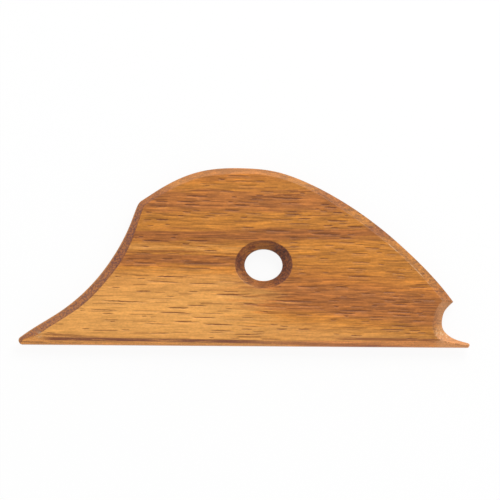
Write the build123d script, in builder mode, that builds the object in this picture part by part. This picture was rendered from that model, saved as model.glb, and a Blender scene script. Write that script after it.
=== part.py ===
from build123d import *
import os
from math import cos, radians, sin

# Pottery rib: one flat oak board, bevelled round both faces, with a countersunk oval thumb hole

# Overall sizes, in millimetres: the board lies flat, its straight base along X
blade_length = 150.0
blade_height = 59.6
board_thickness = 6.35

# Bevels: one depth all round, and how wide each stretch of the edge shows on the face
bevel_depth = 1.9
base_bevel = 1.6
lip_bevel = 2.0
notch_foot_bevel = 3.5
notch_bevel = 3.1
notch_top_bevel = 2.6
notch_end_bevel = 1.9
corner_bevel = 2.8
slope_bevel = 2.6
slope_top_bevel = 2.0
crown_bevel = 2.3
shoulder_bevel = 2.1
sweep_top_bevel = 2.3
sweep_bevel = 3.1
sweep_foot_bevel = 2.8
tip_bevel = 2.9

# Notch: how deep it cuts in from the lip's end, and where its upper corner stands
notch_reach = 9.2
notch_rise = 15.22
corner_setback = 5.5

# How far the flat face stays back from the two ends of the base, and how its sharp ends are blunted
lip_reach = 9.4
tip_reach = 6.6
face_end_cut = 0.3
face_lip_length = 1.1
face_lip_angle = 34.0

# Rounded ends of the base, and the blunt shoulder above the sweep
lip_radius = 0.7
tip_radius = 1.3
shoulder_radius = 3.5
face_shoulder_radius = 1.4

# Directions of the outline where its stretches meet, in degrees from the base
lip_angle = 14.6
notch_foot_angle = 46.0
notch_end_angle = 43.0
slope_angle = 54.0
shoulder_top_angle = 33.4
shoulder_foot_angle = 65.0
tip_angle = 37.0

# Points of the notch, as shares of its depth from the lip's end and of its rise from the base
lip_shares = [(0.382, 0.1445), (0.685, 0.2232)]
notch_foot_shares = (0.8755, 0.3191)
notch_shares = [(0.998, 0.4895), (0.9457, 0.7284)]

# Points of the outline, as shares of the length and the height, from the corner round to the tip
slope_shares = [(0.8680, 0.5211), (0.7341, 0.7887), (0.6005, 0.9579)]
crown_top_share = 0.4783
crown_shares = [(0.3785, 0.9633), (0.3121, 0.8821)]
shoulder_corner_shares = (0.2642, 0.8026)
sweep_shares = [(0.2483, 0.7003), (0.2023, 0.4733), (0.1584, 0.3309), (0.0922, 0.1859)]

# Places along each stretch, as shares of its length, where the bevel's width is set
notch_place_shares = (0.1, 0.4, 0.7)
notch_bevels = (notch_foot_bevel, notch_bevel, notch_top_bevel)
slope_place_shares = (0.2, 0.5, 0.8)
slope_bevels = (slope_bevel, slope_bevel, slope_top_bevel)
crown_place_shares = (0.35, 0.7)
crown_bevels = (crown_bevel, crown_bevel)
sweep_place_shares = (0.08, 0.25, 0.45, 0.65, 0.85)
sweep_bevels = (sweep_top_bevel, sweep_bevel, sweep_bevel, sweep_bevel, sweep_foot_bevel)

# Oval thumb hole, countersunk from both faces, placed from the tip and the base
hole_from_tip = 81.3
hole_from_base = 27.1
bore_length = 12.6
bore_height = 10.7
rim_length = 19.1
rim_height = 16.1
countersink_depth = 2.4


def place(shares):
    """Point at these shares of the length and the height."""
    return Vector(shares[0] * blade_length, shares[1] * blade_height)


def notch_place(shares):
    """Point at these shares of the notch's depth and rise."""
    return Vector(blade_length - shares[0] * notch_reach, shares[1] * notch_rise)


def heading(angle):
    """Unit direction at this angle, counted anticlockwise from the base."""
    return Vector(cos(radians(angle)), sin(radians(angle)))


def beside(edge, share, width):
    """Point one bevel width inwards from this share of an outline edge."""
    along = edge.tangent_at(share)
    return edge.position_at(share) + Vector(-along.Y, along.X) * width


def row_beside(edge, shares, widths):
    """Points inwards from several shares of an outline edge, each by its own bevel width."""
    return [beside(edge, share, width) for share, width in zip(shares, widths)]


def mitre(first_edge, first_width, second_edge, second_width):
    """Corner of the face inside the corner where two outline edges meet."""
    first = first_edge.tangent_at(1)
    second = second_edge.tangent_at(0)
    turn = first.X * second.Y - first.Y * second.X
    return first_edge.position_at(1) + (second * first_width - first * second_width) * (1 / turn)


def shoulder_arc(corner, radius):
    """Round of this radius in the corner between the crown and the sweep."""
    centre = corner + shoulder_inwards * (radius / cos(radians(shoulder_turn / 2)))
    return CenterArc(centre, radius, start_angle=90 + shoulder_top_angle, arc_size=shoulder_turn)


# The outline runs anticlockwise from the tip, so the face is always on its left
shoulder_turn = shoulder_foot_angle - shoulder_top_angle
shoulder_inwards = heading((shoulder_foot_angle + shoulder_top_angle) / 2 - 90)
shoulder_corner = place(shoulder_corner_shares)
notch_foot = notch_place(notch_foot_shares)
corner = Vector(blade_length - corner_setback, notch_rise)
crown_top = place((crown_top_share, 1))

with BuildLine():
    base = Line(Vector(tip_radius, 0), Vector(blade_length - lip_radius, 0))
    lip_nose = CenterArc(
        Vector(blade_length - lip_radius, lip_radius), lip_radius, start_angle=-90, arc_size=180 - lip_angle
    )
    lip = Spline(
        [lip_nose @ 1, *map(notch_place, lip_shares), notch_foot],
        tangents=[heading(180 - lip_angle), heading(180 - notch_foot_angle)],
    )
    notch = Spline(
        [notch_foot, *map(notch_place, notch_shares), corner],
        tangents=[heading(180 - notch_foot_angle), heading(notch_end_angle)],
    )
    slope = Spline(
        [corner, *map(place, slope_shares), crown_top],
        tangents=[heading(180 - slope_angle), heading(180)],
    )
    shoulder = shoulder_arc(shoulder_corner, shoulder_radius)
    crown = Spline(
        [crown_top, *map(place, crown_shares), shoulder @ 0],
        tangents=[heading(180), heading(180 + shoulder_top_angle)],
    )
    tip_nose = CenterArc(
        Vector(tip_radius, tip_radius), tip_radius, start_angle=90 + tip_angle, arc_size=180 - tip_angle
    )
    sweep_edge = Spline(
        [shoulder @ 1, *map(place, sweep_shares), tip_nose @ 0],
        tangents=[heading(180 + shoulder_foot_angle), heading(180 + tip_angle)],
    )
outline_edges = [base, lip_nose, lip, notch, slope, crown, shoulder, sweep_edge, tip_nose]

# Outline of the flat face, one bevel inside the board's own
face_tip = Vector(tip_reach, tip_bevel)
face_lip = Vector(blade_length - lip_reach, lip_bevel)
face_corner = mitre(notch, notch_end_bevel, slope, corner_bevel)

with BuildLine():
    face_base = ThreePointArc(
        face_tip + heading(0) * face_end_cut,
        beside(base, 1 / 2, base_bevel),
        face_lip + heading(180) * face_end_cut,
    )
    face_lip_end = Line(face_base @ 1, face_lip + heading(180 - face_lip_angle) * face_end_cut)
    face_lip_side = Line(face_lip_end @ 1, face_lip + heading(180 - face_lip_angle) * face_lip_length)
    face_notch = Spline(
        [face_lip_side @ 1, *row_beside(notch, notch_place_shares, notch_bevels), face_corner]
    )
    face_slope = Spline(
        [face_corner, *row_beside(slope, slope_place_shares, slope_bevels), beside(slope, 1, crown_bevel)]
    )
    face_shoulder = shoulder_arc(
        shoulder_corner + shoulder_inwards * (shoulder_bevel / cos(radians(shoulder_turn / 2))),
        face_shoulder_radius,
    )
    face_crown = Spline(
        [face_slope @ 1, *row_beside(crown, crown_place_shares, crown_bevels), face_shoulder @ 0],
        tangents=[heading(180), heading(180 + shoulder_top_angle)],
    )
    face_sweep = Spline(
        [
            face_shoulder @ 1,
            *row_beside(sweep_edge, sweep_place_shares, sweep_bevels),
            face_tip + heading(tip_angle) * face_end_cut,
        ]
    )
    face_tip_end = Line(face_sweep @ 1, face_base @ 0)
face_edges = [
    face_base,
    face_lip_end,
    face_lip_side,
    face_notch,
    face_slope,
    face_crown,
    face_shoulder,
    face_sweep,
    face_tip_end,
]

tip_plane = Plane(origin=(-blade_length / 2, -blade_height / 2, 0))
hole_plane = Plane(origin=(hole_from_tip - blade_length / 2, hole_from_base - blade_height / 2, 0))

# Levels of the board: its lower face, both sides of the upright land between the bevels, its upper face
board_sections = [
    tip_plane * make_face(face_edges),
    tip_plane.offset(bevel_depth) * make_face(outline_edges),
    tip_plane.offset(board_thickness - bevel_depth) * make_face(outline_edges),
    tip_plane.offset(board_thickness) * make_face(face_edges),
]

with BuildPart() as rib_board:
    loft(board_sections, ruled=True)

    # Thumb hole: a straight bore between two countersinks
    with BuildSketch(hole_plane):
        Ellipse(bore_length / 2, bore_height / 2)
    extrude(amount=board_thickness, mode=Mode.SUBTRACT)
    for face_level, bore_level in (
        (0, countersink_depth),
        (board_thickness, board_thickness - countersink_depth),
    ):
        with BuildSketch(hole_plane.offset(face_level)):
            Ellipse(rim_length / 2, rim_height / 2)
        with BuildSketch(hole_plane.offset(bore_level)):
            Ellipse(bore_length / 2, bore_height / 2)
        loft(ruled=True, mode=Mode.SUBTRACT)

rib_board.part.label = "rib_board"

os.makedirs("parts", exist_ok=True)
export_step(rib_board.part, "parts/rib_board.step")
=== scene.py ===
import bmesh
import bpy
import math
import numpy as np
from mathutils import Matrix, Vector
from mathutils.geometry import delaunay_2d_cdt


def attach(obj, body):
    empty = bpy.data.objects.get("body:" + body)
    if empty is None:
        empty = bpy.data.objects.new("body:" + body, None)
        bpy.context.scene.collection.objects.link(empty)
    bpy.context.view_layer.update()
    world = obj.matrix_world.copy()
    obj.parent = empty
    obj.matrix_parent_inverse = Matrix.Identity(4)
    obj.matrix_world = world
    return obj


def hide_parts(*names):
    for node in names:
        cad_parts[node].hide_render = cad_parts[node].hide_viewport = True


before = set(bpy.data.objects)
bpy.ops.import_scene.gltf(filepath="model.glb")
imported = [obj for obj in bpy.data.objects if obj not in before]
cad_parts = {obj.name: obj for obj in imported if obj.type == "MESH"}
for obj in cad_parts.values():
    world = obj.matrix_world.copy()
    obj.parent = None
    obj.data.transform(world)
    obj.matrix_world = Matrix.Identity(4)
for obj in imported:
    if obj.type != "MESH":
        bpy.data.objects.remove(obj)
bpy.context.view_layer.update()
print("frame loaded:", sorted(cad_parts))

mm = 0.001  # the scene is in metres, the settings below in millimetres


# Small helpers

def hexToLinear(hexColour):
    # sRGB hex to the linear colour that the sockets take
    parts = [int(hexColour[k:k + 2], 16) / 255 for k in (1, 3, 5)]
    linear = [c / 12.92 if c <= 0.04045 else ((c + 0.055) / 1.055) ** 2.4 for c in parts]
    return (*linear, 1.0)


def addNode(tree, kind, settings=None, inputs=None):
    # a node with its settings; an input takes a value, a socket, or a node by its first live output
    node = tree.nodes.new(kind)
    for name, value in (settings or {}).items():
        setattr(node, name, value)
    for name, value in (inputs or {}).items():
        if isinstance(value, bpy.types.Node):
            value = next(socket for socket in value.outputs if socket.enabled)
        if isinstance(value, bpy.types.NodeSocket):
            tree.links.new(value, node.inputs[name])
        else:
            node.inputs[name].default_value = value
    return node


# what a Math or Vector Math node does
add = {"operation": "ADD"}
subtract = {"operation": "SUBTRACT"}
multiply = {"operation": "MULTIPLY"}
multiplyAdd = {"operation": "MULTIPLY_ADD"}
divide = {"operation": "DIVIDE"}
larger = {"operation": "MAXIMUM"}


# Camera: over the board, a little towards the straight base

cameraSettings = {
    "target": (1.76, 2.0, 6.35),
    "tilt": 7.0,          # degrees away from straight down
    "roll": 0.415,
    "distance": 1500.0,
    "viewWidth": 166.4,   # what the frame takes in at the board's face
    "sensor": 36.0,
    "nearest": 10.0,
}


def makeCamera(settings):
    tilt = math.radians(settings["tilt"])
    target = Vector(settings["target"]) * mm
    back = Vector((0, -math.sin(tilt), math.cos(tilt)))
    data = bpy.data.cameras.new("ribCamera")
    data.sensor_width = settings["sensor"]
    data.lens = settings["sensor"] * settings["distance"] / settings["viewWidth"]
    data.clip_start = settings["nearest"] * mm
    camera = bpy.data.objects.new("ribCamera", data)
    turn = back.to_track_quat("Z", "Y").to_matrix() @ Matrix.Rotation(math.radians(settings["roll"]), 3, "Z")
    camera.matrix_world = Matrix.Translation(target + back * settings["distance"] * mm) @ turn.to_4x4()
    bpy.context.scene.collection.objects.link(camera)
    bpy.context.scene.camera = camera


makeCamera(cameraSettings)
print("camera placed")


# The board's outlines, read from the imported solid

boardSettings = {
    "node": "rib_board",
    "sameCorner": 0.002,    # corners of its loose triangles closer than this are one
    "sameLevel": 0.003,     # points this near to a level of the board lie on it
    "sameEnd": 0.01,        # and this near to its end are on its upright land
    "flatNormal": 0.999,    # a steeper face than this isn't part of the flat face
    "insideRim": 0.95,      # share of the rim within which a point belongs to the bore
    "cornerTurn": 60.0,     # a sharper turn than this is a real corner, degrees
    "sampleStep": 0.3,      # spacing along the outline
    "straightRun": 4.0,     # a run this many times as long as the next one is straight
    "thinnestBevel": 0.2,   # a narrower or wider reading has missed the face's edge
    "widestBevel": 4.2,
    "evenOver": 17,         # samples over which the bevel's width is evened out
    "meanBevel": 2.5,       # turns a share of the bevel into mm beside the outer edge
    "closest": 0.05,        # least distance between two points of the mesh
    # rings of points: close to the outer edge, then by share of the bevel's width
    "ringDepths": (0.04, 0.08, 0.14),
    "ringShares": (0.15, 0.3, 0.5, 0.7, 0.82, 0.89, 0.94, 1.0, 1.06, 1.11, 1.18),
    "ringTrue": 0.97,       # a ring's point is kept if its edge is this share of the ring's reach away
    "ridgeFrom": 0.02,      # where the search for the ridge between two bevels starts
    "ridgeHalvings": 18,
    "ridgeTo": 1.02,        # share of the bevel's width at which the ridge ends
    "ridgeClear": 0.04,     # distance that rings keep from it
    "landEase": 0.13,       # how far sanding has rounded the outer edges
    "faceEase": 0.14,       # height over which bevel and face run into each other
    "ridgeEase": 0.1,       # the same where two bevels meet
    "ridgeKept": 0.6,       # share of the rise that this leaves at least
    "landRows": 5,
    "fillStep": 1.1,        # spacing of the points on the flat face
    "fillRow": 0.866,       # shares of it: the height of a row, and the distance kept from other points
    "fillClear": 0.4,
    "snap": 1e-5,           # points closer than this become one as the face is triangulated
    "holeSteps": 140,
    "holeShares": (0.0, 0.03, 0.08, 0.25, 0.5, 0.75, 0.88, 0.95, 1.0, 1.05, 1.12, 1.25),
    "holeRounds": 12,       # steps in which a point's share between bore and rim is found
    "holeLeast": 0.5,       # least half size of an oval, so that none turns inside out
    "holeEase": 0.2,
    "boreEase": 0.1,
    "mostKnown": 2.0,       # the material is told of no share above this
}


def chainLoops(points, pairs):
    # closed loops of point numbers from loose edges, always on to the nearest free neighbour
    beside = {}
    for a, b in pairs:
        beside.setdefault(a, set()).add(b)
        beside.setdefault(b, set()).add(a)
    loops, left = [], set(beside)
    while left:
        loop = [min(left)]
        left.discard(loop[0])
        while beside[loop[-1]] & left:
            here = points[loop[-1]]
            loop.append(min(beside[loop[-1]] & left, key=lambda k: np.linalg.norm(points[k] - here)))
            left.discard(loop[-1])
        loops.append(loop)
    return loops


def signedArea(loop):
    following = np.roll(loop, -1, axis=0)
    return 0.5 * np.sum(loop[:, 0] * following[:, 1] - loop[:, 1] * following[:, 0])


def readBoard(settings):
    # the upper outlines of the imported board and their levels, in mm, anticlockwise
    cad = bmesh.new()
    cad.from_mesh(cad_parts[settings["node"]].data)
    bmesh.ops.remove_doubles(cad, verts=cad.verts, dist=settings["sameCorner"] * mm)
    cad.normal_update()
    cad.verts.index_update()
    points = np.array([v.co[:] for v in cad.verts]) / mm
    thickness = points[:, 2].max()
    landTop = points[points[:, 0] < points[:, 0].min() + settings["sameEnd"], 2].max()

    def loopsOf(level, wanted):
        # loops of the edges on one level, from the smallest to the largest
        pairs = [
            [v.index for v in edge.verts] for edge in cad.edges
            if all(abs(v.co.z / mm - level) < settings["sameLevel"] for v in edge.verts) and wanted(edge)
        ]
        loops = [points[loop][:, :2] for loop in chainLoops(points, pairs)]
        return sorted([loop if signedArea(loop) > 0 else loop[::-1] for loop in loops], key=signedArea)

    def bordersFlat(edge):
        return sum(face.normal.z > settings["flatNormal"] for face in edge.link_faces) == 1

    flat = loopsOf(thickness, bordersFlat)
    outline = loopsOf(landTop, lambda edge: True)[-1]
    cad.free()
    rim, face = flat[0], flat[-1]
    centre = (rim.max(axis=0) + rim.min(axis=0)) / 2
    half = (rim.max(axis=0) - rim.min(axis=0)) / 2
    away = np.linalg.norm((points[:, :2] - centre) / half, axis=1)
    boreTop = max(points[away.argmin(), 2], thickness - points[away.argmin(), 2])
    onBore = np.abs(points[:, 2] - boreTop) < settings["sameLevel"]
    bore = points[(away < settings["insideRim"]) & onBore, :2]
    return {
        "thickness": thickness, "landTop": landTop, "boreTop": boreTop, "outline": outline, "face": face,
        "holeCentre": centre, "rimHalf": half, "boreHalf": (bore.max(axis=0) - bore.min(axis=0)) / 2,
    }


def smoothStretch(points, step, straightRun):
    # even samples along a smooth curve through the points
    chords = np.diff(points, axis=0)
    lengths = np.linalg.norm(chords, axis=1)
    ways = chords / lengths[:, None]
    tangents = np.empty_like(points)
    for k in range(1, len(points) - 1):
        before, after = lengths[k - 1], lengths[k]
        if max(before, after) > straightRun * min(before, after):
            tangents[k] = ways[k - 1] if before > after else ways[k]
        else:
            tangents[k] = ways[k - 1] * after + ways[k] * before
        tangents[k] /= np.linalg.norm(tangents[k])
    for end, beside in ((0, 1), (-1, -2)):
        tangents[end] = 2 * (ways[end] @ tangents[beside]) * ways[end] - tangents[beside]
    samples = []
    for k, length in enumerate(lengths):
        count = max(2, math.ceil(length / step))
        u = (np.arange(count) / count)[:, None]
        samples.append(
            (2 * u**3 - 3 * u**2 + 1) * points[k] + (u**3 - 2 * u**2 + u) * length * tangents[k]
            + (3 * u**2 - 2 * u**3) * points[k + 1] + (u**3 - u**2) * length * tangents[k + 1]
        )
    return np.vstack([*samples, points[-1:]])


def inwardOf(line):
    # direction to the left of each sample, which is into the board
    ahead = np.gradient(line, axis=0)
    ahead /= np.linalg.norm(ahead, axis=1)[:, None]
    return np.column_stack([-ahead[:, 1], ahead[:, 0]])


def bevelWidths(line, inward, faceLoop, settings):
    # distance from each sample, square to the outline, to the edge of the flat face
    side = np.roll(faceLoop, -1, axis=0) - faceLoop
    gap = faceLoop[None] - line[:, None]
    cross = inward[:, None, 0] * side[None, :, 1] - inward[:, None, 1] * side[None, :, 0]
    cross = np.where(np.abs(cross) < 1e-9, 1e-9, cross)  # for sides that run straight inwards
    reach = (gap[..., 0] * side[None, :, 1] - gap[..., 1] * side[None, :, 0]) / cross
    along = (gap[..., 0] * inward[:, None, 1] - gap[..., 1] * inward[:, None, 0]) / cross
    crossed = (along >= 0) & (along <= 1) & (reach > settings["thinnestBevel"])
    widths = np.where(crossed, reach, np.inf).min(axis=1)
    good = np.flatnonzero(widths < settings["widestBevel"])
    filled = np.interp(np.arange(len(line)), good, widths[good])
    weights = np.hanning(settings["evenOver"])
    padded = np.pad(filled, settings["evenOver"] // 2, mode="edge")
    return np.convolve(padded, weights / weights.sum(), mode="valid")


def makeStretches(board, settings):
    # the outline in stretches between its ends and corners, each with its bevel's width
    loop = board["outline"]
    before, after = loop - np.roll(loop, 1, axis=0), np.roll(loop, -1, axis=0) - loop
    turns = np.degrees(np.arctan2(
        before[:, 0] * after[:, 1] - before[:, 1] * after[:, 0], np.sum(before * after, axis=1)
    ))
    corners = np.flatnonzero(np.abs(turns) > settings["cornerTurn"])
    breaks = sorted({*corners, loop[:, 0].argmin(), loop[:, 0].argmax()})
    stretches = []
    for first, last in zip(breaks, [*breaks[1:], breaks[0] + len(loop)]):
        part = loop[np.arange(first, last + 1) % len(loop)]
        line = smoothStretch(part, settings["sampleStep"], settings["straightRun"])
        line = np.clip(line, loop.min(axis=0), loop.max(axis=0))
        inward = inwardOf(line)
        widths = bevelWidths(line, inward, board["face"], settings)
        stretches.append({"line": line, "inward": inward, "widths": widths})
    return stretches


def riseOver(points, stretch):
    # how far up its bevel each point is, 0 at the outline and 1 at the face
    line, widths = stretch["line"], stretch["widths"]
    side = np.diff(line, axis=0)
    shares = np.empty(len(points))
    atOnce = 3000  # points compared with the whole stretch at a time, to save memory
    for first in range(0, len(points), atOnce):
        part = points[first:first + atOnce]
        nearest = np.argmin(((part[:, None] - line[None]) ** 2).sum(axis=2), axis=1)
        best, share = np.full(len(part), np.inf), np.zeros(len(part))
        for shift in (-1, 0):
            a = np.clip(nearest + shift, 0, len(side) - 1)
            u = np.clip(((part - line[a]) * side[a]).sum(axis=1) / (side[a] ** 2).sum(axis=1), 0, 1)
            away = np.linalg.norm(part - line[a] - side[a] * u[:, None], axis=1)
            width = widths[a] + (widths[a + 1] - widths[a]) * u
            share = np.where(away < best, away / width, share)
            best = np.minimum(away, best)
        shares[first:first + atOnce] = share
    return shares


def smoothMin(a, b, reach):
    # the lower of two heights, run into each other over a short reach
    return np.minimum(a, b) - np.maximum(reach - np.abs(a - b), 0) ** 2 / (4 * reach)


class PointSet:
    # points and edges for the triangulation, with points too close to another refused
    def __init__(self, closest):
        self.closest = closest
        self.points = []
        self.edges = []
        self.cells = {}

    def near(self, x, y, closest):
        column, row = int(x // self.closest), int(y // self.closest)
        cells = math.ceil(closest / self.closest)
        around = range(-cells, cells + 1)
        return any(
            (self.points[k][0] - x) ** 2 + (self.points[k][1] - y) ** 2 < closest ** 2
            for dx in around for dy in around for k in self.cells.get((column + dx, row + dy), ())
        )

    def add(self, x, y, closest=None):
        # the new point's number, or None; with 0 as the closest, nothing is refused
        if closest != 0 and self.near(x, y, closest or self.closest):
            return None
        self.cells.setdefault((int(x // self.closest), int(y // self.closest)), []).append(len(self.points))
        self.points.append((float(x), float(y)))
        return len(self.points) - 1

    def addEdges(self, numbers):
        # edges along a row of point numbers, left out where one of them is None
        self.edges += [(a, b) for a, b in zip(numbers, numbers[1:]) if a is not None and b is not None]

    def addLine(self, line, closed=False, closest=None):
        numbers = [self.add(x, y, closest) for x, y in line]
        self.addEdges(numbers + numbers[:1] * closed)
        return numbers

    def addRuns(self, line, kept):
        # the stretches of a line whose points are kept
        run = []
        for point, good in zip(line, kept):
            if good:
                run.append(point)
            elif run:
                self.addLine(run)
                run = []
        if run:
            self.addLine(run)


def ovalPoints(board, share, steps):
    # one turn round the hole, from the bore at 0 to the rim at 1
    angle = np.arange(steps) * 2 * math.pi / steps
    half = board["boreHalf"] + (board["rimHalf"] - board["boreHalf"]) * share
    return board["holeCentre"] + np.column_stack([np.cos(angle), np.sin(angle)]) * half


def holeShare(board, settings, points):
    # the same share for any point, found in a few steps
    away, wider = points - board["holeCentre"], board["rimHalf"] - board["boreHalf"]
    share = np.ones(len(points))
    for _ in range(settings["holeRounds"]):
        half = np.maximum(board["boreHalf"] + wider * share[:, None], settings["holeLeast"])
        share = share + (np.linalg.norm(away / half, axis=1) - 1) * half.mean(axis=1) / wider.mean()
    return share


def surfaceHeight(board, settings, stretches, points):
    # height of the upper surface, the share up the bevel, and the share out from the bore
    rise = board["thickness"] - board["landTop"]
    shares = [riseOver(points, stretch) for stretch in stretches]
    nearest = np.minimum.reduce(shares)
    lowest = shares[0]
    for other in shares[1:]:
        lowest = smoothMin(lowest, other, settings["ridgeEase"] / rise)
    lowest = np.maximum(lowest, nearest * settings["ridgeKept"])
    height = board["landTop"] + rise * smoothMin(lowest, np.ones(len(points)), settings["faceEase"] / rise)
    away = nearest * settings["meanBevel"]
    height -= settings["landEase"] * np.maximum(1 - away / settings["landEase"], 0) ** 2
    share = holeShare(board, settings, points)
    depth = board["thickness"] - board["boreTop"]
    hole = board["boreTop"] + depth * smoothMin(share, np.ones(len(points)), settings["holeEase"] / depth)
    width = (board["rimHalf"] - board["boreHalf"]).mean()
    hole -= settings["boreEase"] * np.maximum(1 - share * width / settings["boreEase"], 0) ** 2
    return np.minimum(height, hole), nearest, share


board = readBoard(boardSettings)
stretches = makeStretches(board, boardSettings)
print("outlines read, samples:", [len(stretch["line"]) for stretch in stretches])
print("levels of land, bore and face:", board["landTop"], board["boreTop"], board["thickness"])


# Open pores: vessels that the sanded face has cut along, each a shallow groove with tapered ends

poreSettings = {
    "seed": 11,
    "slope": -0.02,         # they run down a little towards the notch
    "slopeSpread": 0.01,
    "pointStep": 1.1,
    "fewestSteps": 4,
    "wander": 0.03,
    "taper": 3,             # how late the ends narrow, and how late they pale
    "fade": 5,
    "ragged": (0.75, 1.15), # how far the width and the darkness vary along one
    "patchy": (0.8, 1.0),
    "lengthBias": 1.4,      # above 1, most of them are short
    "slimmest": 0.6,        # shares of the widest and the darkest
    "palest": 0.5,
    "clearAcross": 0.1,     # wood left between two of them
    "clearAlong": 0.5,
    "clearAround": 0.3,     # and between one and the points of the flat face
    "fromBevel": 1.1,       # share of the bevel's width at which they stop
    "fromHole": 1.12,
    # a real vessel is about 0.3 mm wide, too fine to show, so these are drawn about twice as wide
    # rows across the board: y from, y to, x from, x to, how many in 100 mm2, longest, widest, darkest
    "fields": (
        (21, 29, -45, 60, 9, 9, 0.55, 0.85),
        (15, 21, -45, 60, 9, 11, 0.6, 0.95),
        (9.5, 15, -50, 60, 9, 9, 0.55, 0.85),
        (4, 7.5, -50, -4, 9, 9, 0.6, 0.95),
        (6, 9.5, 2, 55, 9, 9, 0.6, 0.95),
        (0, 4, -50, -2, 7, 7, 0.5, 0.85),
        (-3.5, 0, -55, -3, 8, 9, 0.55, 0.95),
        (-28, -3.5, -75, 2, 4.5, 13, 0.45, 0.62),
        (-7, 6, 15, 65, 8, 8, 0.5, 0.75),
        (-20, -10, 2, 72, 8, 9, 0.52, 0.85),
        (-28, -20, 0, 72, 5, 8, 0.5, 0.65),
    ),
    "shortest": 2.0,
    "fewestPoints": 3,      # one with fewer of its points left, or in two parts, is dropped
    # the boldest of them: x, y, length, width, darkness
    "placed": (
        (-16, 20, 8, 0.75, 1.0), (-17.5, 17, 6, 0.7, 1.0), (-1, 17, 6, 0.7, 1.0), (14, 19.5, 11, 0.75, 1.0),
        (29.5, 16.5, 7, 0.7, 1.0), (-33, 14.5, 5, 0.6, 0.9), (-27.5, 12, 5, 0.6, 0.9),
        (37.5, 10, 8, 0.65, 1.0), (11, 8.5, 9, 0.6, 0.9), (27, 7.5, 11, 0.65, 1.0), (-31, 5, 7, 0.65, 0.9),
        (-16, 5, 8, 0.65, 1.0), (-12.5, -2.5, 16, 0.7, 1.0), (-26, -7, 7, 0.5, 0.75),
        (-33.5, -12, 6, 0.5, 0.75), (-4, -13, 12, 0.55, 0.85), (-40, -15.5, 16, 0.45, 0.75),
        (-8.5, -23, 11, 0.5, 0.7), (-28, -26, 7, 0.45, 0.7), (16.5, -15, 13, 0.6, 0.9),
        (36, -18, 10, 0.6, 0.9), (42.5, 3, 6, 0.55, 0.8), (26, 21.5, 9, 0.6, 0.9), (31, 12, 8, 0.6, 0.9),
    ),
}


def makePores(settings, seed, placed):
    # where the pores lie on one face, none touching another
    random = np.random.default_rng(seed)
    pores = [pore for pore in settings["placed"] if placed]
    for y0, y1, x0, x1, density, longest, widest, darkest in settings["fields"]:
        for _ in range(round((x1 - x0) * (y1 - y0) / 100 * density)):
            x, y = random.uniform(x0, x1), random.uniform(y0, y1)
            length = settings["shortest"]
            length += (longest - length) * random.random() ** settings["lengthBias"]
            size = random.random()
            width = widest * (settings["slimmest"] + (1 - settings["slimmest"]) * size)
            tone = darkest * (settings["palest"] + (1 - settings["palest"]) * size)
            if all(
                abs(y - other[1]) > (width + other[3]) / 2 + settings["clearAcross"]
                or abs(x - other[0]) > (length + other[2]) / 2 + settings["clearAlong"]
                for other in pores
            ):
                pores.append((x, y, length, width, tone))
    lines = []
    for x, y, length, width, tone in pores:
        steps = max(settings["fewestSteps"], math.ceil(length / settings["pointStep"]))
        u = np.linspace(-1, 1, steps + 1)
        slope = random.normal(settings["slope"], settings["slopeSpread"])
        across = y + slope * u * length / 2 + random.normal(0, settings["wander"], steps + 1)
        half = width / 2 * (1 - np.abs(u) ** settings["taper"])
        half = half * random.uniform(*settings["ragged"], steps + 1)
        tone = tone * (1 - np.abs(u) ** settings["fade"])
        tone = tone * random.uniform(*settings["patchy"], steps + 1)
        lines.append({"middle": np.column_stack([x + u * length / 2, across]), "half": half, "tone": tone})
    return lines


def cutPores(sheet, pores, outline, settings, heights):
    # adds each pore's middle and both its sides to the sheet, and says how deep each of its points is
    depths = {}
    for pore in pores:
        _, rise, share = heights(pore["middle"])
        good = (rise > settings["fromBevel"]) & (share > settings["fromHole"])
        good &= insideLoop(pore["middle"], outline)
        if good.sum() < settings["fewestPoints"] or np.diff(np.flatnonzero(good)).max() > 1:
            continue
        middle, half, tone = pore["middle"][good], pore["half"][good].copy(), pore["tone"][good].copy()
        half[0] = half[-1] = tone[0] = tone[-1] = 0
        numbers = sheet.addLine(middle)
        depths.update((number, value) for number, value in zip(numbers, tone) if number is not None)
        for side in (1, -1):
            beside = [sheet.add(x, y + side * h) for (x, y), h in zip(middle[1:-1], half[1:-1])]
            sheet.addEdges([numbers[0], *beside, numbers[-1]])
    return depths


def awayFromPores(points, pores, clear):
    free = np.ones(len(points), dtype=bool)
    for pore in pores:
        low, high = pore["middle"].min(axis=0), pore["middle"].max(axis=0)
        reach = np.array([clear, pore["half"].max() + clear])
        free &= ~((points > low - reach) & (points < high + reach)).all(axis=1)
    return free


def insideLoop(points, loop):
    within = np.zeros(len(points), dtype=bool)
    for (x0, y0), (x1, y1) in zip(loop, np.roll(loop, -1, axis=0)):
        if y0 != y1:
            crosses = (points[:, 1] < y0) != (points[:, 1] < y1)
            within ^= crosses & (points[:, 0] < x0 + (points[:, 1] - y0) * (x1 - x0) / (y1 - y0))
    return within


# The mesh: one upper and one lower side, joined by the upright land and the bore

def leadsAt(stretch, others, reach):
    # whether this stretch's bevel is the lowest one, at a reach inwards from each of its samples
    points = stretch["line"] + stretch["inward"] * reach[:, None]
    return np.minimum.reduce([riseOver(points, other) for other in others]) > riseOver(points, stretch)


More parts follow.
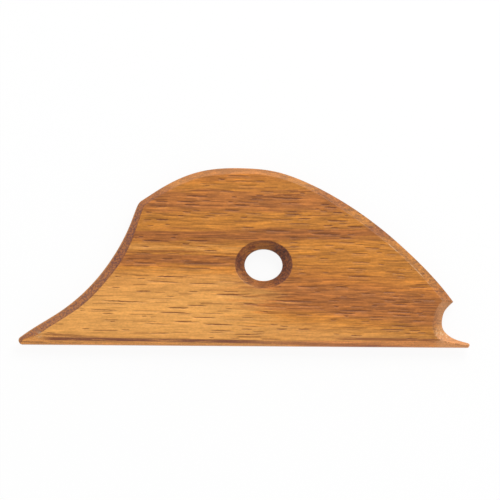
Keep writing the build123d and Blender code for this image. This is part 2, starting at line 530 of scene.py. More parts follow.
def addBevelRings(sheet, settings, stretches):
    # lines along each stretch, up its bevel, and one where it meets the bevel of another
    for number, stretch in enumerate(stretches):
        line, inward, widths = stretch["line"], stretch["inward"], stretch["widths"]
        others = [other for k, other in enumerate(stretches) if k != number]
        low, high = np.full(len(line), settings["ridgeFrom"]), widths * settings["ringShares"][-1]
        full = leadsAt(stretch, others, high)
        for _ in range(settings["ridgeHalvings"]):
            middle = (low + high) / 2
            ahead = leadsAt(stretch, others, middle)
            low, high = np.where(ahead, middle, low), np.where(ahead, high, middle)
        sheet.addRuns(line + inward * low[:, None], ~full & (low / widths < settings["ridgeTo"]))
        limits = np.where(full, np.inf, low) - settings["ridgeClear"]
        reaches = [np.full(len(line), depth) for depth in settings["ringDepths"]]
        reaches += [widths * share for share in settings["ringShares"]]
        for reach in reaches:
            points = line + inward * reach[:, None]
            nearest = riseOver(points, stretch) * widths > reach * settings["ringTrue"]
            sheet.addRuns(points, (reach < limits) & nearest & (np.arange(len(line)) > 0))


def evenPoints(board, settings):
    # rows of even triangles' corners over the whole board
    low, high = board["outline"].min(axis=0), board["outline"].max(axis=0)
    step, row = settings["fillStep"], settings["fillStep"] * settings["fillRow"]
    return np.array([
        (low[0] + (column + level % 2 / 2) * step, low[1] + level * row)
        for level in range(int((high[1] - low[1]) / row) + 1)
        for column in range(int((high[0] - low[0]) / step) + 1)
    ])


def buildSide(board, settings, stretches, pores):
    # one triangulated side: points, heights, triangles, its two borders, and what each point knows
    def heights(points):
        return surfaceHeight(board, settings, stretches, points)

    sheet = PointSet(settings["closest"])
    outline = np.array([p for stretch in stretches for p in stretch["line"][:-1]])
    sheet.addLine(outline, closed=True, closest=0)
    holeRings = [ovalPoints(board, share, settings["holeSteps"]) for share in settings["holeShares"]]
    bore, *_ = [sheet.addLine(ring, closed=True, closest=0) for ring in holeRings]
    addBevelRings(sheet, settings, stretches)
    depths = cutPores(sheet, pores, outline, poreSettings, heights)
    even = evenPoints(board, settings)
    _, rise, share = heights(even)
    free = (rise > settings["ringShares"][-1]) & (share > settings["holeShares"][-1])
    free &= insideLoop(even, outline) & awayFromPores(even, pores, poreSettings["clearAround"])
    for x, y in even[free]:
        sheet.add(x, y, settings["fillStep"] * settings["fillClear"])
    corners = [Vector(p) for p in sheet.points]
    flat, _, triangles, origins, _, _ = delaunay_2d_cdt(corners, sheet.edges, [], 0, settings["snap"])
    points = np.array([p[:] for p in flat])
    triangles = np.array([t for t in triangles if len(t) == 3])
    centres = points[triangles].mean(axis=1)
    kept = insideLoop(centres, outline) & ~insideLoop(centres, holeRings[0])
    number = {first: k for k, origin in enumerate(origins) for first in origin}
    borders = ([number[k] for k in range(len(outline))], [number[k] for k in bore])
    height, rise, share = heights(points)
    depth = np.zeros(len(points))
    for first, value in depths.items():
        depth[number[first]] = value
    return points, height, triangles[kept], borders, np.column_stack([rise, share, depth])


def buildBoard(board, settings, stretches):
    # both sides, then the upright walls round the land and through the bore
    points, faces, knows, borders = [], [], [], []
    for upper in (True, False):
        pores = makePores(poreSettings, poreSettings["seed"] + (not upper), upper)
        flat, height, triangles, loops, known = buildSide(board, settings, stretches, pores)
        first = len(points)
        levels = height if upper else board["thickness"] - height
        points += [(x, y, z) for (x, y), z in zip(flat, levels)]
        faces += [tuple(first + k for k in (t if upper else t[::-1])) for t in triangles]
        knows += list(known)
        borders.append([[first + k for k in loop] for loop in loops])
    count = settings["landRows"]
    for upperLoop, lowerLoop, outside in zip(*borders, (True, False)):
        rows = [upperLoop]
        for row in range(1, count):
            rows.append(range(len(points), len(points) + len(upperLoop)))
            for a, b in zip(upperLoop, lowerLoop):
                top, foot = np.array(points[a]), np.array(points[b])
                points.append(tuple(top + (foot - top) * row / count))
                knows.append(knows[a])
        rows.append(lowerLoop)
        for high, low in zip(rows, rows[1:]):
            for k in range(len(high)):
                n = (k + 1) % len(high)
                quad = (high[k], low[k], low[n], high[n])
                faces.append(quad if outside else quad[::-1])
    return points, faces, knows


points, faces, knows = buildBoard(board, boardSettings, stretches)
mesh = bpy.data.meshes.new("ribBoard")
mesh.from_pydata([tuple(c * mm for c in p) for p in points], [], faces)
mesh.validate()
mesh.shade_smooth()
for column, name in enumerate(("bevelShare", "holeShare", "pore")):
    values = np.clip([known[column] for known in knows], 0, boardSettings["mostKnown"])
    mesh.attributes.new(name, "FLOAT", "POINT").data.foreach_set("value", values.astype(np.float32))

check = bmesh.new()
check.from_mesh(mesh)
openEdges = sum(not edge.is_manifold for edge in check.edges)
print("board mesh:", len(check.verts), "points, open edges:", openEdges)
print("volume in mm3:", check.calc_volume() / mm**3)
check.free()


# Oiled oak: ring-porous, flat-sawn board sanded fine and wiped with oil, which deepens the colour to
# amber, darkens the early wood and the end grain most, and leaves a soft satin gloss

oakSettings = {
    "tones": {
        "straw": "#E29F50", "honey": "#D69246", "gold": "#C27B2A", "amber": "#BA7028",
        "russet": "#B36C2E", "brown": "#A66228",
    },
    # growth layers, as heights in mm above the straight base, at the tip's end and at the notch's end
    "tipBands": (
        (0, "honey"), (4, "straw"), (14, "straw"), (22, "honey"), (25.5, "gold"), (27, "russet"),
        (29.5, "brown"), (30.5, "gold"), (32, "honey"), (33.5, "gold"), (35, "brown"), (37.5, "brown"),
        (39, "gold"), (44, "gold"), (46, "russet"), (51, "russet"), (53, "gold"), (56.5, "amber"),
        (59.5, "amber"),
    ),
    "notchBands": (
        (0, "honey"), (6, "honey"), (10.5, "gold"), (13.5, "russet"), (17, "brown"), (21, "russet"),
        (24, "amber"), (28, "gold"), (34.5, "gold"), (36, "brown"), (39, "brown"), (40.5, "gold"),
        (44.5, "gold"), (46.5, "russet"), (51, "russet"), (53.5, "gold"), (59.5, "amber"),
    ),
    "blend": (-14.0, 24.0),             # x between which one end's layers pass into the other's
    "blendStray": 60.0,                 # how far that strays along the board, mm
    "dipFrom": 12.0,                    # x from which the layers run down to the notch, and how steeply
    "dipSlope": 0.11,
    "dipBelow": (32.0, 20.0),           # only under the hole: none at the first height, all at the second
    "bandWander": 4.0,                  # how far a layer strays across the board in all, mm
    "bandFray": 6.0,                    # how ragged its edges are, mm
    "layerTilt": 0.5,                   # how far it moves across for each mm through the board
    # noise drawn out along the grain: length along it, width across it, detail, roughness
    "patterns": {
        "wander": (60.0, 14.0, 3.0, 0.55),          # bends the growth layers
        "fray": (16.0, 0.9, 2.0, 0.55),             # and makes their edges ragged
        "grit": (0.9, 0.5, 2.0, 0.55),              # sanding marks on the faces
        "oil": (1.6, 0.3, 2.0, 0.55),               # how far the oil fills a pore
        "breaks": (7.0, 0.5, 2.0, 0.55),            # interrupts the lines beside the base
        "glints": (3.0, 3.0, 2.0, 0.55),            # where the arris gets its painted highlight
        "mottle": (0.7143, 0.7143, 3.0, 0.7),       # end grain, the ragged edge of the painted highlight spots, and the burnish in the hole
        "speckle": (0.4545, 0.4545, 2.0, 0.7),      # sanding marks on the bevels and in the hole
        "blotches": (2.857, 2.857, 1.0, 0.5),       # where the thumb has burnished the hole more or less
    },
    # streaks that lighten and darken the wood: length along the grain, width across it, depth
    "streaks": ((40.0, 1.7, 0.15), (12.0, 0.9, 0.28), (5.0, 0.5, 0.22)),
    "streakRoughness": 0.55,
    "streakSpan": (0.3, 0.7),           # part of the noise's range that is used
    # sanding marks, bolder on the bevels and in the hole: span of the noise, darkest, lightest; real ones are
    # about 0.1 mm wide, too fine to show, so they are drawn four or five times as wide
    "shades": {
        "grit": (0.35, 0.65, 0.92, 1.08),
        "speckle": (0.35, 0.65, 0.86, 1.14),
    },
    # smaller vessels, one to a cell: cell length and width, half length and half width, darkness
    "vessels": ((12.0, 1.0, 4.6, 0.2, 0.75), (7.0, 0.8, 2.6, 0.16, 0.6)),
    "vesselEnds": (1.0, 0.7),           # shares of its half sizes where one starts and is full
    "vesselSides": (1.3, 0.5),
    "vesselFlatness": 0.6,              # its width over its height through the board
    "vesselFaintest": 0.35,
    "poreColour": "#733E18",
    "poreDarkest": 0.92,
    # dark lines of early wood beside the base: y at its start, slope, half width, x from, x to, darkness
    "baseLines": (
        (-28.05, -0.007, 0.48, -69.0, 10.0, 0.95), (-28.5, -0.02, 0.42, -12.0, 62.0, 0.6),
        (-27.45, -0.006, 0.42, 28.0, 72.0, 0.8), (-26.3, -0.06, 0.36, -70.0, -44.0, 0.8),
    ),
    "lineSides": (1.4, 0.6),            # shares of the half width where a line starts and is full
    "lineFades": (6.0, 14.0),           # how long its two ends fade, mm
    "lineColour": "#7E4422",
    "fibre": (0.978, 0.0, -0.208),      # the grain dips a little towards the notch
    "endGrain": "#A4602F",
    "endGrainPurple": "#623633",
    "endGrainShare": 0.85,
    "sideTint": "#8E6622",              # handling has burnished the hole: its side grain and its end grain
    "endTint": "#A88850",
    "bevelTint": "#E6E6F0",             # the bevels are sanded duller than the faces
    "baseTint": "#FCE8E6",
    "palePart": "#E0A470",              # the notch's and the crown's bevels are paler
    "notchPale": 0.4,
    "arris": "#EBC89A",                 # painted highlight along the face's edge, where its eased arris catches the light, and how much
    "arrisHighlightShare": 0.32,
    # painted highlight spots at the notch's foot and at the tip: x, y, reach, share; and the share of the
    # reach that is palest
    "paleHighlightSpots": ((66.0, -25.5, 3.5, 0.5), (-68.3, -26.7, 1.8, 0.35)),
    "highlightCore": 0.3,
    "edgeShare": 0.35,                  # how far the sharp edges of the end grain stand out: a dark line inside and a painted highlight outside
    # soft steps: where each begins, where it is full, and its two levels where they aren't 0 and 1
    "steps": {
        "calm": (0.4, 0.28, 0.5, 1.0),              # by lightness: streaks are weak in pale wood
        "vessel": (0.27, 0.19, 0.2, 0.85),          # and few of its cells have a vessel
        "oil": (0.35, 0.6, 2.25, 3.0),              # by a pattern: how soon a pore darkens from its edge
        "breaks": (0.35, 0.5, 0.45, 1.0),           # gaps in the lines beside the base
        "mottle": (0.42, 0.58),                     # where end grain is purple
        "glints": (0.48, 0.62),                     # where the arris gets its painted highlight, and the ragged edge of the painted highlight spots
        "spots": (0.48, 0.6),
        "rubbed": (0.4, 0.6, 0.8, 1.0),             # how evenly the hole is burnished
        "blotches": (0.4, 0.6, 0.75, 1.0),
        "bevel": (1.02, 0.96),                      # by the share up the bevel
        "edgeWithin": (0.81, 0.89),
        "edgeBeyond": (1.05, 0.97),
        "outerEdge": (0.2, 0.08),
        "arrisWithin": (0.92, 0.98),
        "arrisBeyond": (1.08, 1.02),
        "inHole": (1.03, 0.95),                     # by the share out from the bore
        # painted highlight: less of the hole's tint next to the bore
        "bore": (0.0, 0.4, 0.7, 1.0),
        "tipEnds": (-0.32, -0.48),                  # by how far the surface faces along the fibre; towards the tip only, which paints shade on the left-facing bevels
        "notchEnds": (0.45, 0.8, 0.0, 0.3),
        "holeEnds": (0.32, 0.48),
        "baseLand": (-0.8, -0.95, 0.0, 0.28),       # by how far it faces across: the land under the base is darker
        "crownEnds": (14.0, 19.0, 1.0, 0.35),       # by y
        "crownPale": (20.0, 25.0, 0.0, 0.15),
        "baseBevel": (-25.0, -27.0),
        "notchBelow": (-13.0, -16.0),
        "arrisAbove": (-17.0, -14.0),
        "tintFrom": (5.0, 25.0, 0.35, 1.0),         # by x
        "notchFrom": (62.0, 66.0),
        "arrisFrom": (34.0, 50.0),
    },
    "shadeReach": 8.0,                  # painted shade: from this far below the hole's middle up to it the hole's tint deepens, so its upper side is darker
    "shadeLeast": 0.7,
    "roughness": 0.5,
    "roughnessSpread": 0.06,
    "ior": 1.45,
    "bump": 0.25,
    "bumpDepth": 0.1,
    "relief": 0.5,                      # of streaks and small vessels, as a share of an open pore's
}

# The functions below share wood, a dictionary of what the material's nodes give so far. Those that lay
# colour return coats: how much of the coat shows, its colour, and how it is blended with what lies below.


def shareOf(tree, *parts):
    # the product of numbers, nodes and soft steps; a step is what it goes by, then its values and levels
    product = None
    for part in parts:
        if isinstance(part, tuple):
            step = dict(enumerate(part))
            part = addNode(tree, "ShaderNodeMapRange", {"interpolation_type": "SMOOTHSTEP"}, step)
        if product is not None:
            part = addNode(tree, "ShaderNodeMath", multiply, {0: product, 1: part})
        product = part
    return product


def readWood(tree, settings):
    # the place in mm, what the mesh knows about each point, and the patterns
    coords = addNode(tree, "ShaderNodeTexCoord")
    normal = coords.outputs["Normal"]
    toMm = {0: coords.outputs["Object"], "Scale": 1 / mm}
    place = addNode(tree, "ShaderNodeVectorMath", {"operation": "SCALE"}, toMm)
    x, y, z = addNode(tree, "ShaderNodeSeparateXYZ", None, {0: place}).outputs
    along = {0: normal, 1: settings["fibre"]}
    wood = {
        "place": place, "x": x, "y": y, "z": z,
        "facing": addNode(tree, "ShaderNodeVectorMath", {"operation": "DOT_PRODUCT"}, along),
        "sideways": addNode(tree, "ShaderNodeSeparateXYZ", None, {0: normal}).outputs["Y"],
    }
    for name in ("bevelShare", "holeShare", "pore"):
        wood[name] = addNode(tree, "ShaderNodeAttribute", {"attribute_name": name}).outputs["Fac"]
    wood["bevel"] = shareOf(tree, (wood["bevelShare"], *settings["steps"]["bevel"]))
    wood["inHole"] = shareOf(tree, (wood["holeShare"], *settings["steps"]["inHole"]))
    for name, (length, width, detail, roughness) in settings["patterns"].items():
        size = (length, width, width)
        drawnOut = addNode(tree, "ShaderNodeVectorMath", divide, {0: place, 1: size})
        wood[name] = addNode(tree, "ShaderNodeTexNoise", None, {
            "Vector": drawnOut, "Scale": 1.0, "Detail": detail, "Roughness": roughness,
        })
    for name, span in settings["shades"].items():
        wood[name] = addNode(tree, "ShaderNodeMapRange", None, dict(enumerate((wood[name], *span))))
    return wood


def makeLayers(tree, settings, wood):
    # growth layers that wander along the board, fray into streaks and lean through its thickness
    wander = addNode(tree, "ShaderNodeMath", subtract, {0: wood["wander"], 1: 0.5})
    fray = addNode(tree, "ShaderNodeMath", subtract, {0: wood["fray"], 1: 0.5})
    below = addNode(tree, "ShaderNodeMath", subtract, {0: wood["z"], 1: board["thickness"]})
    across = {0: wander, 1: settings["bandWander"], 2: wood["y"]}
    across = addNode(tree, "ShaderNodeMath", multiplyAdd, across)
    across = addNode(tree, "ShaderNodeMath", multiplyAdd, {0: below, 1: settings["layerTilt"], 2: across})
    base = float(board["outline"][:, 1].min())
    height = addNode(tree, "ShaderNodeMath", subtract, {0: across, 1: base})
    height = addNode(tree, "ShaderNodeMath", multiplyAdd, {0: fray, 1: settings["bandFray"], 2: height})
    past = addNode(tree, "ShaderNodeMath", subtract, {0: wood["x"], 1: settings["dipFrom"]})
    past = addNode(tree, "ShaderNodeMath", larger, {0: past, 1: 0.0})
    dip = shareOf(tree, past, (height, *settings["dipBelow"]), settings["dipSlope"])
    lower = addNode(tree, "ShaderNodeMath", add, {0: height, 1: dip})
    ends = []
    for name, level in (("tipBands", height), ("notchBands", lower)):
        top = settings[name][-1][0]
        share = addNode(tree, "ShaderNodeMapRange", None, {0: level, 2: top})
        ramp = addNode(tree, "ShaderNodeValToRGB", None, {0: share})
        stops = ramp.color_ramp.elements
        for k, (place, tone) in enumerate(settings[name]):
            stop = stops[k] if k < len(stops) else stops.new(place / top)
            stop.position = place / top
            stop.color = hexToLinear(settings["tones"][tone])
        ends.append(ramp)
    stray = addNode(tree, "ShaderNodeMath", add, {0: wander, 1: fray})
    along = {0: stray, 1: settings["blendStray"], 2: wood["x"]}
    along = addNode(tree, "ShaderNodeMath", multiplyAdd, along)
    passed = shareOf(tree, (along, *settings["blend"]))
    layers = addNode(tree, "ShaderNodeMix", {"data_type": "RGBA"}, {0: passed, 6: ends[0], 7: ends[1]})
    wood["across"] = across
    wood["lightness"] = addNode(tree, "ShaderNodeRGBToBW", None, {0: layers})
    return layers


def streakCoats(tree, settings, wood):
    # streaks that follow the layers, the finest of which also guide the gloss, and a fine grit over them
    calm = shareOf(tree, (wood["lightness"], *settings["steps"]["calm"]))
    bent = addNode(tree, "ShaderNodeCombineXYZ", None, {0: wood["x"], 1: wood["across"], 2: wood["z"]})
    coats = []
    low, high = settings["streakSpan"]
    for length, width, depth in settings["streaks"]:
        size = (length, width, width)
        drawnOut = addNode(tree, "ShaderNodeVectorMath", divide, {0: bent, 1: size})
        wood["streak"] = addNode(tree, "ShaderNodeTexNoise", None, {
            "Vector": drawnOut, "Scale": 1.0, "Detail": 2.0, "Roughness": settings["streakRoughness"],
        })
        span = {0: wood["streak"], 1: low, 2: high, 3: -depth, 4: depth}
        shade = addNode(tree, "ShaderNodeMapRange", None, span)
        shade = addNode(tree, "ShaderNodeMath", multiplyAdd, {0: shade, 1: calm, 2: 1.0})
        coats.append((1.0, shade, "MULTIPLY"))
    coats.append((1.0, wood["grit"], "MULTIPLY"))
    return coats


def vesselCoats(tree, settings, wood):
    # small vessels, more of them in the dark early wood, then the open pores, which hold the oil
    chance = shareOf(tree, (wood["lightness"], *settings["steps"]["vessel"]))
    flecks = 0.0
    for length, width, halfLength, halfWidth, darkness in settings["vessels"]:
        size = (length, width, width)
        place = addNode(tree, "ShaderNodeVectorMath", divide, {0: wood["place"], 1: size})
        cell = addNode(tree, "ShaderNodeTexVoronoi", None, {"Vector": place, "Scale": 1.0}).outputs
        gap = addNode(tree, "ShaderNodeVectorMath", subtract, {0: place, 1: cell["Position"]})
        gap = addNode(tree, "ShaderNodeVectorMath", {"operation": "ABSOLUTE"}, {0: gap})
        away = addNode(tree, "ShaderNodeSeparateXYZ", None, {0: gap}).outputs
        lots = addNode(tree, "ShaderNodeSeparateXYZ", None, {0: cell["Color"]}).outputs
        above = shareOf(tree, away["Z"], settings["vesselFlatness"])
        beside = addNode(tree, "ShaderNodeMath", larger, {0: away["Y"], 1: above})
        drawn = addNode(tree, "ShaderNodeMath", {"operation": "LESS_THAN"}, {0: lots["X"], 1: chance})
        faintest = darkness * settings["vesselFaintest"]
        tone = addNode(tree, "ShaderNodeMapRange", None, {0: lots["Y"], 3: faintest, 4: darkness})
        ends = [halfLength / length * share for share in settings["vesselEnds"]]
        sides = [halfWidth / width * share for share in settings["vesselSides"]]
        fleck = shareOf(tree, (away["X"], *ends), (beside, *sides), drawn, tone)
        flecks = addNode(tree, "ShaderNodeMath", larger, {0: flecks, 1: fleck})
    pore = shareOf(tree, wood["pore"], (wood["oil"], *settings["steps"]["oil"]))
    pore = addNode(tree, "ShaderNodeMath", {"operation": "MINIMUM"}, {0: pore, 1: settings["poreDarkest"]})
    shallow = shareOf(tree, flecks, settings["relief"])
    wood["sunk"] = addNode(tree, "ShaderNodeMath", add, {0: shallow, 1: pore})
    dark = hexToLinear(settings["poreColour"])
    return [(flecks, dark, "MIX"), (pore, dark, "MIX")]


def lineCoats(tree, settings, wood):
    # the dark lines that run beside the base
    coats = []
    outer, inner = settings["lineSides"]
    fadeIn, fadeOut = settings["lineFades"]
    breaks = (wood["breaks"], *settings["steps"]["breaks"])
    for level, slope, half, start, end, darkness in settings["baseLines"]:
        across = addNode(tree, "ShaderNodeMath", multiplyAdd, {0: wood["x"], 1: -slope, 2: wood["y"]})
        middle = level - slope * start
        line = shareOf(
            tree, (across, middle - half * outer, middle - half * inner),
            (across, middle + half * outer, middle + half * inner),
            (wood["x"], start, start + fadeIn), (wood["x"], end, end - fadeOut), breaks, darkness,
        )
        coats.append((line, hexToLinear(settings["lineColour"]), "MIX"))
    return coats


def endGrainAndShadeCoats(tree, settings, wood):
    # end grain drinks more oil and turns a mottled purple brown, dark and pale along its sharp edges; laid
    # mostly on the bevels that face the tip, it also paints shade on the left side, and its pale outer line
    # is a painted highlight
    steps = settings["steps"]
    ends = shareOf(tree, wood["inHole"], (wood["facing"], *steps["holeEnds"]))
    # painted shade: the tip-facing bevels get the full end grain and the notch-facing ones little, so the
    # left side reads darker
    for name in ("tipEnds", "notchEnds"):
        more = shareOf(tree, (wood["facing"], *steps[name]))
        ends = addNode(tree, "ShaderNodeMath", larger, {0: ends, 1: more})
    ends = shareOf(tree, ends, (wood["y"], *steps["crownEnds"]), settings["endGrainShare"])
    wood["ends"] = ends
    endGrain = addNode(tree, "ShaderNodeMix", {"data_type": "RGBA"}, {
        0: shareOf(tree, (wood["mottle"], *steps["mottle"])),
        6: hexToLinear(settings["endGrain"]), 7: hexToLinear(settings["endGrainPurple"]),
    })
    edge = shareOf(tree, ends, wood["bevel"], settings["edgeShare"])
    up = wood["bevelShare"]
    within = shareOf(tree, edge, (up, *steps["edgeWithin"]), (up, *steps["edgeBeyond"]))
    return [
        (ends, endGrain, "MIX"),
        (within, hexToLinear(settings["poreColour"]), "MIX"),
        # painted highlight: a pale line along the bevel's outer edge
        (shareOf(tree, edge, (up, *steps["outerEdge"])), hexToLinear(settings["tones"]["straw"]), "MIX"),
    ]


def bevelCoats(tree, settings, wood):
    # the bevels' duller tint, under the end grain
    steps = settings["steps"]
    tint = addNode(tree, "ShaderNodeMix", {"data_type": "RGBA"}, {
        0: shareOf(tree, (wood["y"], *steps["baseBevel"])),
        6: hexToLinear(settings["bevelTint"]), 7: hexToLinear(settings["baseTint"]),
    })
    return [(shareOf(tree, wood["bevel"], (wood["x"], *steps["tintFrom"])), tint, "MULTIPLY")]


def wearAndHighlightCoats(tree, settings, wood):
    # paler notch and crown, the darkened land under the base, coarse sanding, and painted highlights along
    # the arris and at two spots
    steps, x, y, up = settings["steps"], wood["x"], wood["y"], wood["bevelShare"]
    pale = addNode(tree, "ShaderNodeMath", larger, {
        0: shareOf(tree, (x, *steps["notchFrom"]), (y, *steps["notchBelow"]), settings["notchPale"]),
        1: shareOf(tree, (y, *steps["crownPale"])),
    })
    sloping = addNode(tree, "ShaderNodeMath", larger, {0: wood["bevel"], 1: wood["inHole"]})
    # painted highlight: a pale, broken line along the face's edge on the slope side, where the eased arris
    # catches the key light
    paintedHighlight = shareOf(
        tree, (up, *steps["arrisWithin"]), (up, *steps["arrisBeyond"]), (wood["glints"], *steps["glints"]),
        (x, *steps["arrisFrom"]), (y, *steps["arrisAbove"]), settings["arrisHighlightShare"],
    )
    flatPlace = addNode(tree, "ShaderNodeCombineXYZ", None, {0: x, 1: y})
    # painted highlight spots at the notch's foot and at the tip
    for spotX, spotY, reach, share in settings["paleHighlightSpots"]:
        between = {0: flatPlace, 1: (spotX, spotY, 0.0)}
        gap = addNode(tree, "ShaderNodeVectorMath", {"operation": "DISTANCE"}, between)
        around = (gap, reach, reach * settings["highlightCore"], 0.0, share)
        spot = shareOf(tree, around, (wood["mottle"], *steps["spots"]))
        paintedHighlight = addNode(tree, "ShaderNodeMath", larger, {0: paintedHighlight, 1: spot})
    return [
        (shareOf(tree, wood["bevel"], pale), hexToLinear(settings["palePart"]), "MIX"),
        (shareOf(tree, (wood["sideways"], *steps["baseLand"])), hexToLinear(settings["poreColour"]), "MIX"),
        (sloping, wood["speckle"], "MULTIPLY"),
        (paintedHighlight, hexToLinear(settings["arris"]), "MIX"),
    ]


def holeCoats(tree, settings, wood):
    # the hole's walls and countersink, burnished by the thumb; the same tint also paints shade, deepest on
    # the hole's upper side, and is thinner next to the bore as a painted highlight
    steps, middle = settings["steps"], board["holeCentre"][1]
    # painted shade: the tint is full above the hole's middle and thinner below it
    above = (wood["y"], middle - settings["shadeReach"], middle, settings["shadeLeast"], 1.0)
    rubbed = shareOf(
        tree, wood["inHole"], above, (wood["mottle"], *steps["rubbed"]),
        (wood["blotches"], *steps["blotches"]), (wood["holeShare"], *steps["bore"]),
    )
    tint = addNode(tree, "ShaderNodeMix", {"data_type": "RGBA"}, {
        0: wood["ends"], 6: hexToLinear(settings["sideTint"]), 7: hexToLinear(settings["endTint"]),
    })
    return [(rubbed, tint, "MULTIPLY")]


def makeOak(settings):
    material = bpy.data.materials.new("oiledOak")
    material.use_nodes = True
    tree = material.node_tree
    tree.nodes.clear()
    wood = readWood(tree, settings)
    colour = makeLayers(tree, settings, wood)
    for layCoats in (streakCoats, vesselCoats, lineCoats, bevelCoats, endGrainAndShadeCoats, wearAndHighlightCoats, holeCoats):
        for share, tone, blend in layCoats(tree, settings, wood):
            kind = {"data_type": "RGBA", "blend_type": blend}
            colour = addNode(tree, "ShaderNodeMix", kind, {0: share, 6: colour, 7: tone})
    raised = shareOf(tree, wood["streak"], settings["relief"])
    relief = addNode(tree, "ShaderNodeMath", subtract, {0: raised, 1: wood["sunk"]})
    bump = addNode(tree, "ShaderNodeBump", None, {
        "Height": relief, "Strength": settings["bump"], "Distance": settings["bumpDepth"] * mm,
    })
    low, high = settings["streakSpan"]
    middle, spread = settings["roughness"], settings["roughnessSpread"]
    span = {0: wood["streak"], 1: low, 2: high, 3: middle - spread, 4: middle + spread}
    rough = addNode(tree, "ShaderNodeMapRange", None, span)
    shader = addNode(tree, "ShaderNodeBsdfPrincipled", None, {
        "Base Color": colour, "Roughness": rough, "IOR": settings["ior"], "Normal": bump,
    })
    addNode(tree, "ShaderNodeOutputMaterial", None, {"Surface": shader})
    print("oiled oak:", len(tree.nodes), "nodes")
    return material


# Hand sanding: a shallow wave left in the wood, and the open pores sunk into it

sandingSettings = {
    "Pore Depth": 0.12 * mm,
    "Wave Height": 0.05 * mm,
    "Wave Length": 14.0 * mm,
    "Seed": 3.0,
}


def makeSanding(settings):
    tree = bpy.data.node_groups.new("handSanding", "GeometryNodeTree")
    tree.interface.new_socket("Geometry", in_out="INPUT", socket_type="NodeSocketGeometry")
    for name in settings:
        tree.interface.new_socket(name, in_out="INPUT", socket_type="NodeSocketFloat")
    tree.interface.new_socket("Finish", in_out="INPUT", socket_type="NodeSocketMaterial")
    tree.interface.new_socket("Geometry", in_out="OUTPUT", socket_type="NodeSocketGeometry")
    given = addNode(tree, "NodeGroupInput").outputs
    place = addNode(tree, "GeometryNodeInputPosition")
    scaled = addNode(tree, "ShaderNodeVectorMath", divide, {0: place, 1: given["Wave Length"]})
    wave = addNode(tree, "ShaderNodeTexNoise", {"noise_dimensions": "4D"}, {
        "Vector": scaled, "W": given["Seed"], "Scale": 1.0, "Detail": 1.0,
    })
    pore = addNode(tree, "GeometryNodeInputNamedAttribute", {"data_type": "FLOAT"}, {"Name": "pore"})
    sunk = addNode(tree, "ShaderNodeMath", multiply, {0: pore, 1: given["Pore Depth"]})
    inwards = addNode(tree, "ShaderNodeMath", multiplyAdd, {0: wave, 1: given["Wave Height"], 2: sunk})
    back = addNode(tree, "ShaderNodeMath", multiply, {0: inwards, 1: -1.0})
    normal = addNode(tree, "GeometryNodeInputNormal")
    offset = addNode(tree, "ShaderNodeVectorMath", {"operation": "SCALE"}, {0: normal, "Scale": back})
    moved = addNode(tree, "GeometryNodeSetPosition", None, {"Geometry": given["Geometry"], "Offset": offset})
    real = addNode(tree, "GeometryNodeRealizeInstances", None, {"Geometry": moved})
    finish = {"Geometry": real, "Material": given["Finish"]}
    finished = addNode(tree, "GeometryNodeSetMaterial", None, finish)
    addNode(tree, "NodeGroupOutput", None, {"Geometry": finished})
    return tree


def applyNodes(piece, tree, values):
    # runs the tree on the piece and keeps the result as a plain mesh
    modifier = piece.modifiers.new(tree.name, "NODES")
    modifier.node_group = tree
    for item in tree.interface.items_tree:
        if item.in_out == "INPUT" and item.name in values:
            modifier[item.identifier] = values[item.name]
    graph = bpy.context.evaluated_depsgraph_get()
    evaluated = piece.evaluated_get(graph)
    result = bpy.data.meshes.new_from_object(evaluated, preserve_all_data_layers=True, depsgraph=graph)
    piece.modifiers.clear()
    piece.data = result


ribBoard = bpy.data.objects.new("ribBoard", mesh)
bpy.context.scene.collection.objects.link(ribBoard)
oak = makeOak(oakSettings)
applyNodes(ribBoard, makeSanding(sandingSettings), {**sandingSettings, "Finish": oak})
ribBoard.data.name = "ribBoard"
ribBoard.data.shade_smooth()
finishes = [material.name for material in ribBoard.data.materials]
print("sanded and finished:", len(ribBoard.data.polygons), "faces, materials", finishes)
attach(ribBoard, "root")
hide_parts("rib_board")


# Plain pale floor and soft studio light

studioSettings = {
    "floorSize": 3000.0,
    "floorGap": 0.02,       # how far the floor lies under the board
    "floorColour": "#FAFAFA",
    "floorGlow": 0.92,      # how much of the floor's white is its own
    "zenith": 0.22,         # light from straight above and from the sides
    "horizon": 1.6,
    "keyPlace": (300.0, 520.0, 620.0),
    "keySize": 500.0,
    "keyPower": 3.8,
}


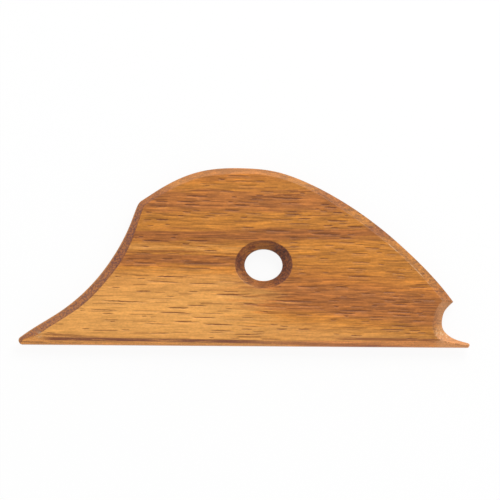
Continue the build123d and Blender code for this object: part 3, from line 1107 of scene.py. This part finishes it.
def makeFloor(settings):
    half, level = settings["floorSize"] / 2 * mm, -settings["floorGap"] * mm
    corners = [(x * half, y * half, level) for x, y in ((-1, -1), (1, -1), (1, 1), (-1, 1))]
    mesh = bpy.data.meshes.new("studioFloor")
    mesh.from_pydata(corners, [], [(0, 1, 2, 3)])
    floor = bpy.data.objects.new("studioFloor", mesh)
    bpy.context.scene.collection.objects.link(floor)
    material = bpy.data.materials.new("paleFloor")
    material.use_nodes = True
    tree = material.node_tree
    tree.nodes.clear()
    rays = addNode(tree, "ShaderNodeLightPath").outputs
    direct = {0: rays["Is Camera Ray"], 1: rays["Is Glossy Ray"]}
    seen = addNode(tree, "ShaderNodeMath", larger, direct)
    share = addNode(tree, "ShaderNodeMath", multiply, {0: seen, 1: settings["floorGlow"]})
    diffuse = addNode(tree, "ShaderNodeBsdfDiffuse", None, {"Color": hexToLinear(settings["floorColour"])})
    glow = addNode(tree, "ShaderNodeEmission", None, {"Color": (1, 1, 1, 1), "Strength": 1.0})
    mix = addNode(tree, "ShaderNodeMixShader", None, {0: share, 1: diffuse, 2: glow})
    addNode(tree, "ShaderNodeOutputMaterial", None, {"Surface": mix})
    mesh.materials.append(material)


def makeLight(settings):
    world = bpy.data.worlds.new("studioWorld")
    bpy.context.scene.world = world
    world.use_nodes = True
    tree = world.node_tree
    tree.nodes.clear()
    coords = addNode(tree, "ShaderNodeTexCoord")
    ways = addNode(tree, "ShaderNodeSeparateXYZ", None, {0: coords.outputs["Generated"]}).outputs
    span = {0: ways["Z"], 3: settings["horizon"], 4: settings["zenith"]}
    level = addNode(tree, "ShaderNodeMapRange", None, span)
    fill = addNode(tree, "ShaderNodeBackground", None, {"Color": (1, 1, 1, 1), "Strength": level})
    white = addNode(tree, "ShaderNodeBackground", None, {"Color": (1, 1, 1, 1), "Strength": 1.0})
    seen = addNode(tree, "ShaderNodeLightPath").outputs["Is Camera Ray"]
    mix = addNode(tree, "ShaderNodeMixShader", None, {0: seen, 1: fill, 2: white})
    addNode(tree, "ShaderNodeOutputWorld", None, {"Surface": mix})
    data = bpy.data.lights.new("keyLight", "AREA")
    data.shape = "DISK"
    data.size = settings["keySize"] * mm
    data.energy = settings["keyPower"]
    key = bpy.data.objects.new("keyLight", data)
    place = Vector(settings["keyPlace"]) * mm
    key.matrix_world = Matrix.Translation(place) @ place.to_track_quat("Z", "Y").to_matrix().to_4x4()
    bpy.context.scene.collection.objects.link(key)


makeFloor(studioSettings)
makeLight(studioSettings)
print("floor and light placed")
bpy.context.scene.view_settings.view_transform = "Standard"
